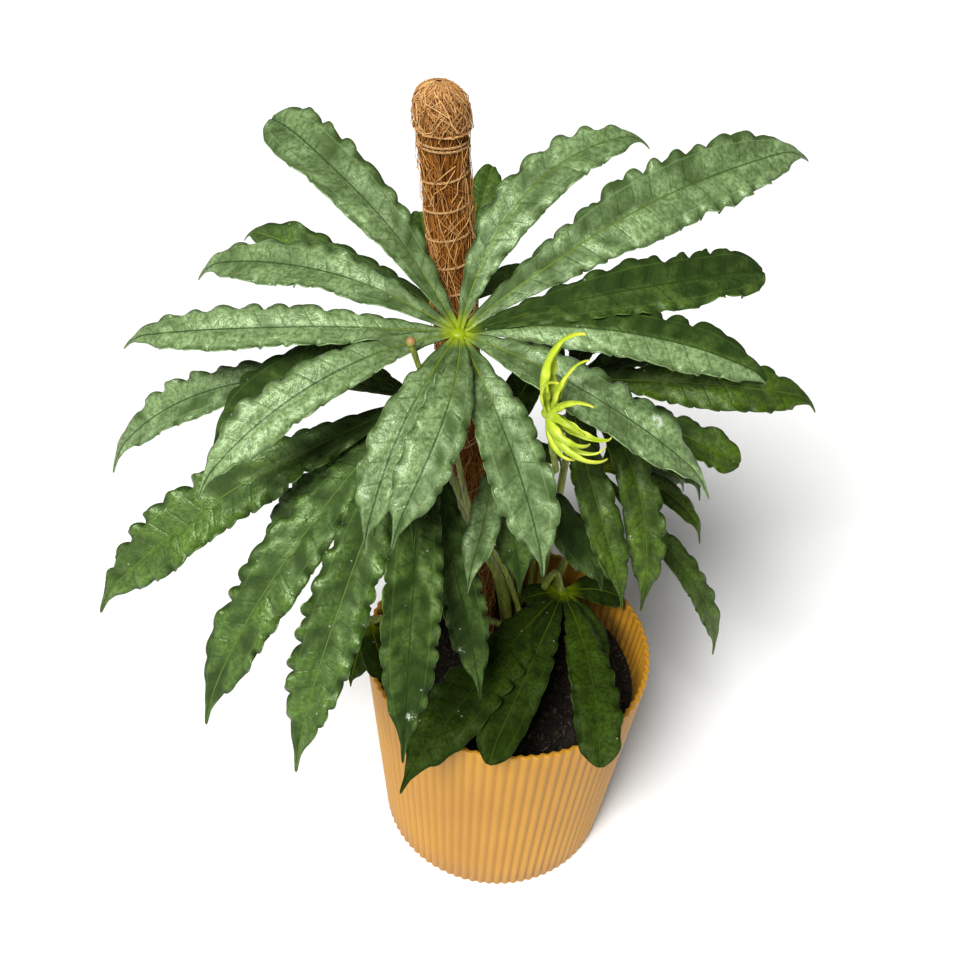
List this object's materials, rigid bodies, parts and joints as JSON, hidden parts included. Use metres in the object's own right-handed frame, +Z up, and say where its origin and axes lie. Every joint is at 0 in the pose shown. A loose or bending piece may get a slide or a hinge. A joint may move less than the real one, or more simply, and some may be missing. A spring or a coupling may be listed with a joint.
{
  "type": "potted anthurium",
  "caption": "Potted palmate-leaved anthurium with wavy leaflets and a fresh curled leaf, grown beside a coir pole in a ribbed pot.",
  "frame": {"origin": "centre of the pot's flat underside, on the surface it stands on", "axes": "+Z up, along the pot's axis; -Y towards the side the picture was taken from; +X to the right in the picture"},
  "size_m": [0.3496, 0.2424, 0.4536],
  "materials": {
    "pot_yellow": "satin, warm yellow",
    "soil_dark": "rough, dark bark mix",
    "stake_wood": "raw wood",
    "coir_brown": "coarse reddish-brown fibre",
    "twine_tan": "twisted tan thread",
    "stem_green": "satin, yellow-green",
    "leaf_green": "satin, dark green, leathery",
    "leaf_fresh": "satin, bright yellow-green"
  },
  "bodies": {
    "root": {"pot": "pot_yellow", "soil": "soil_dark", "pole_stake": "stake_wood", "coir_wrap": "coir_brown", "binding_thread": "twine_tan", "pole_band": "twine_tan", "crown": "stem_green", "leaf_new": "leaf_fresh", "bud_stalk": "stem_green", "leaf_top": "leaf_green", "leaf_left": "leaf_green", "leaf_right": "leaf_green", "leaf_back": "leaf_green", "leaf_inner": "leaf_green", "leaf_low_right": "leaf_green", "leaf_front": "leaf_green", "leaf_rim": "leaf_green"}
  },
  "joints": []
}
